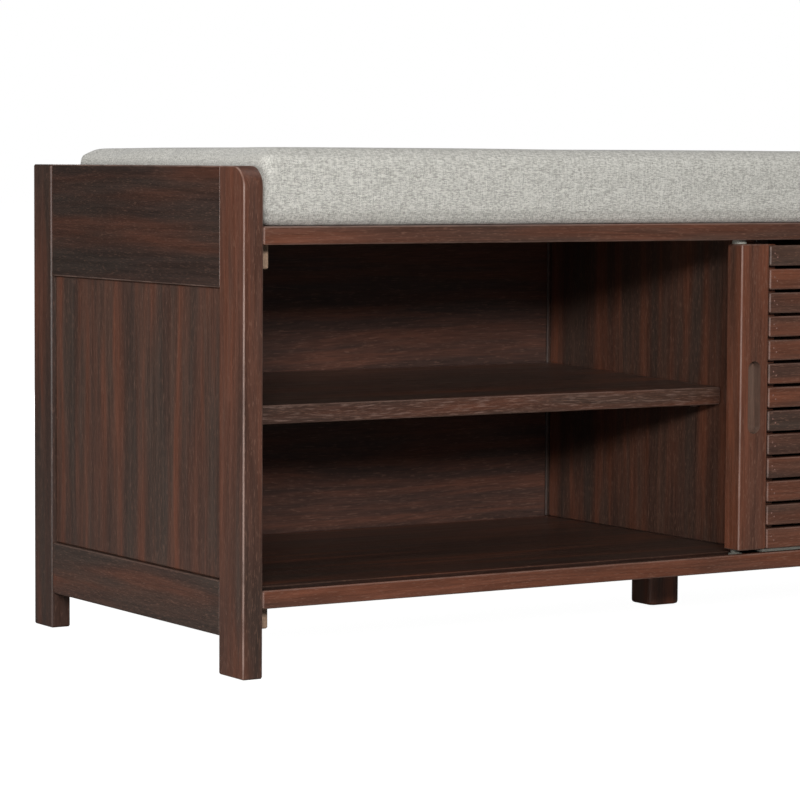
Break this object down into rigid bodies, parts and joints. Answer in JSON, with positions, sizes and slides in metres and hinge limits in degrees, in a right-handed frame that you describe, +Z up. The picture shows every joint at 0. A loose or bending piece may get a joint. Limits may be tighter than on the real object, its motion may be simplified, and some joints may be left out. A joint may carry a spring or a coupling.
{
  "type": "storage bench",
  "caption": "Long dark wood storage bench with frame-and-panel ends, two open shelved bays, one sliding slatted door and a loose seat cushion.",
  "frame": {"origin": "on the floor, at the middle of the bench's overall box", "axes": "+X along the length to the sitter's left, the bench's right seen from the front; -Y to the front; +Z up"},
  "size_m": [1.26, 0.436, 0.4918],
  "materials": {
    "dark_walnut": "satin dark stained solid wood with worn arrises",
    "back_plywood": "dark stained veneered plywood",
    "cleat_poplar": "unfinished light wood, planed",
    "guide_nylon": "moulded nylon",
    "pin_steel": "turned steel",
    "cushion_linen": "plain-weave linen look upholstery"
  },
  "bodies": {
    "frame": {"back_bottom_rail": "dark_walnut", "back_mullion": "dark_walnut", "back_top_rail": "dark_walnut", "bottom_board": "dark_walnut", "centre_divider": "dark_walnut", "centre_foot": "dark_walnut", "left_back_panel": "back_plywood", "left_bottom_rail": "dark_walnut", "left_floor_cleat": "cleat_poplar", "left_front_post": "dark_walnut", "left_rear_post": "dark_walnut", "left_seat_cleat": "cleat_poplar", "left_shelf": "dark_walnut", "left_shelf_inner_front_pin": "pin_steel", "left_shelf_inner_rear_pin": "pin_steel", "left_shelf_outer_front_pin": "pin_steel", "left_shelf_outer_rear_pin": "pin_steel", "left_side_panel": "dark_walnut", "left_top_rail": "dark_walnut", "right_back_panel": "back_plywood", "right_bottom_rail": "dark_walnut", "right_floor_cleat": "cleat_poplar", "right_front_post": "dark_walnut", "right_rear_post": "dark_walnut", "right_seat_cleat": "cleat_poplar", "right_shelf": "dark_walnut", "right_shelf_inner_front_pin": "pin_steel", "right_shelf_inner_rear_pin": "pin_steel", "right_shelf_outer_front_pin": "pin_steel", "right_shelf_outer_rear_pin": "pin_steel", "right_side_panel": "dark_walnut", "right_top_rail": "dark_walnut", "seat_board": "dark_walnut"},
    "door": {"door_back_batten": "cleat_poplar", "door_left_bottom_glide": "guide_nylon", "door_left_stile": "dark_walnut", "door_left_top_guide": "guide_nylon", "door_right_bottom_glide": "guide_nylon", "door_right_stile": "dark_walnut", "door_right_top_guide": "guide_nylon", "door_slat_01": "dark_walnut", "door_slat_02": "dark_walnut", "door_slat_03": "dark_walnut", "door_slat_04": "dark_walnut", "door_slat_05": "dark_walnut", "door_slat_06": "dark_walnut", "door_slat_07": "dark_walnut", "door_slat_08": "dark_walnut", "door_slat_09": "dark_walnut", "door_slat_10": "dark_walnut", "door_slat_11": "dark_walnut", "door_slat_12": "dark_walnut", "door_slat_13": "dark_walnut", "door_wear_strip": "guide_nylon"},
    "cushion": {"cushion": "cushion_linen"}
  },
  "joints": [
    {"name": "door_slide", "type": "slide", "parent": "frame", "child": "door", "axis": [-1, 0, 0], "range_m": [0, 0.559]},
    {"name": "cushion_lift", "type": "slide", "parent": "frame", "child": "cushion", "axis": [0, 0, 1], "range_m": [0, 0.1]}
  ]
}
